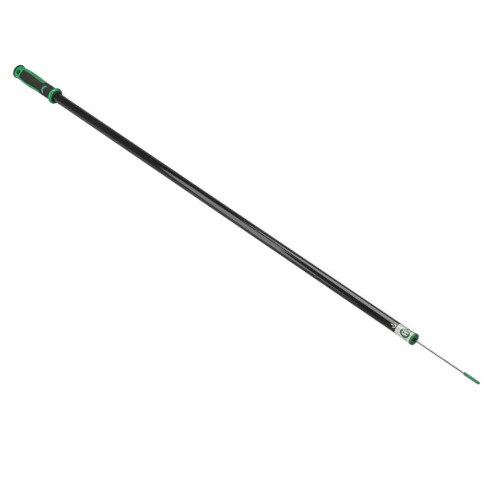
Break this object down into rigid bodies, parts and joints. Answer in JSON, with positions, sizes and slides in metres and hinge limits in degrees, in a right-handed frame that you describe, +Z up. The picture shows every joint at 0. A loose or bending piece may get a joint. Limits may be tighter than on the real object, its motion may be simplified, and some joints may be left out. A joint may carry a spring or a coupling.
{
  "type": "litter picking pin pole",
  "caption": "Slim black pole with a two-material hand grip and hang hole at one end, and a steel pin under a pull-off guard at the other.",
  "frame": {"origin": "centre of the bounding box in X and Y, at the collar's lowest line, where the pole meets the floor", "axes": "+X along the pole towards the pin's point, +Z up along the hang hole, +Y across the pole"},
  "size_m": [1.2, 0.0334, 0.0333],
  "materials": {
    "black_coated_tube": "gloss black coating",
    "green_plastic": "satin moulded",
    "black_soft_grip": "soft moulded",
    "label_film": "white printed film",
    "stainless_steel": "bright drawn"
  },
  "bodies": {
    "pole": {"shaft_tube": "black_coated_tube", "butt_cap": "black_soft_grip", "grip_core": "green_plastic", "grip_sleeve": "black_soft_grip", "grip_badge": "green_plastic", "grip_collar": "green_plastic", "grip_nose": "black_soft_grip", "tube_label": "label_film", "end_plug": "green_plastic", "steel_pin": "stainless_steel", "pin_washer": "stainless_steel", "pin_nut": "stainless_steel"},
    "guard": {"pin_guard": "green_plastic"}
  },
  "joints": [
    {"name": "guard_slide", "type": "slide", "parent": "pole", "child": "guard", "axis": [1, 0, 0], "range_m": [0, 0.045]}
  ]
}
